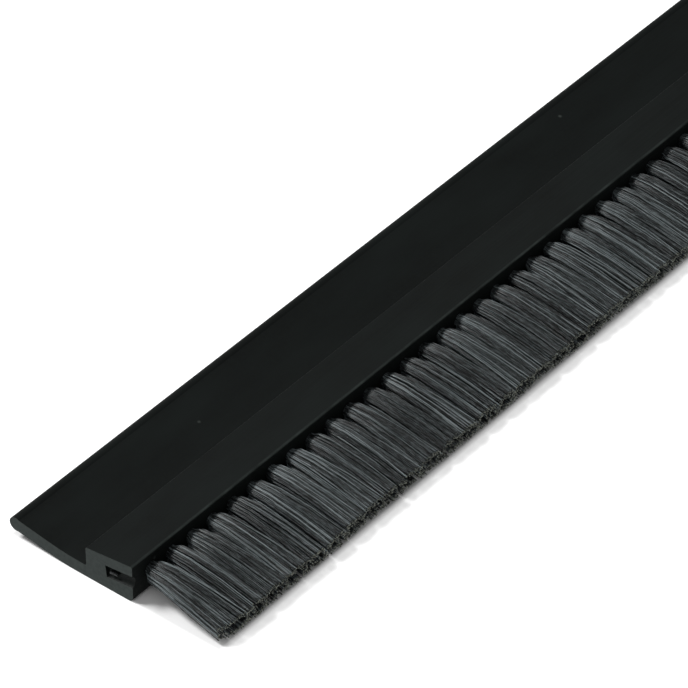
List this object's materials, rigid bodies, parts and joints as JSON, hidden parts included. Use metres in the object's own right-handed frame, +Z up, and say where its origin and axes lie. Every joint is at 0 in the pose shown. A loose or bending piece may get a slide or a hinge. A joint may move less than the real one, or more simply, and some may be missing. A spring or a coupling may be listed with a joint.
{
  "type": "brush seal strip",
  "caption": "Straight black flexible plastic strip with a thin cupped flange and a thicker block that holds one row of short dark bristle tufts.",
  "frame": {"origin": "on the flat underside, at the middle of the block's width and of the strip's length", "axes": "+X across the strip towards the bristle tips, +Y along the strip away from the end that is cut through a hole, +Z up from the underside"},
  "size_m": [0.044, 0.2, 0.0075],
  "materials": {
    "flexible_plastic": "fine matte extruded surface",
    "nylon_filament": "fine filaments with a soft sheen",
    "steel_wire": "plain drawn flat wire"
  },
  "bodies": {
    "root": {"carrier_profile": "flexible_plastic", "tuft_01": "nylon_filament", "tuft_02": "nylon_filament", "tuft_03": "nylon_filament", "tuft_04": "nylon_filament", "tuft_05": "nylon_filament", "tuft_06": "nylon_filament", "tuft_07": "nylon_filament", "tuft_08": "nylon_filament", "tuft_09": "nylon_filament", "tuft_10": "nylon_filament", "tuft_11": "nylon_filament", "tuft_12": "nylon_filament", "tuft_13": "nylon_filament", "tuft_14": "nylon_filament", "tuft_15": "nylon_filament", "tuft_16": "nylon_filament", "tuft_17": "nylon_filament", "tuft_18": "nylon_filament", "tuft_19": "nylon_filament", "tuft_20": "nylon_filament", "tuft_21": "nylon_filament", "tuft_22": "nylon_filament", "tuft_23": "nylon_filament", "tuft_24": "nylon_filament", "tuft_25": "nylon_filament", "tuft_26": "nylon_filament", "tuft_27": "nylon_filament", "tuft_28": "nylon_filament", "tuft_29": "nylon_filament", "tuft_30": "nylon_filament", "tuft_31": "nylon_filament", "tuft_32": "nylon_filament", "tuft_33": "nylon_filament", "tuft_34": "nylon_filament", "tuft_35": "nylon_filament", "tuft_36": "nylon_filament", "tuft_37": "nylon_filament", "tuft_38": "nylon_filament", "tuft_39": "nylon_filament", "wire_anchors": "steel_wire"}
  },
  "joints": []
}
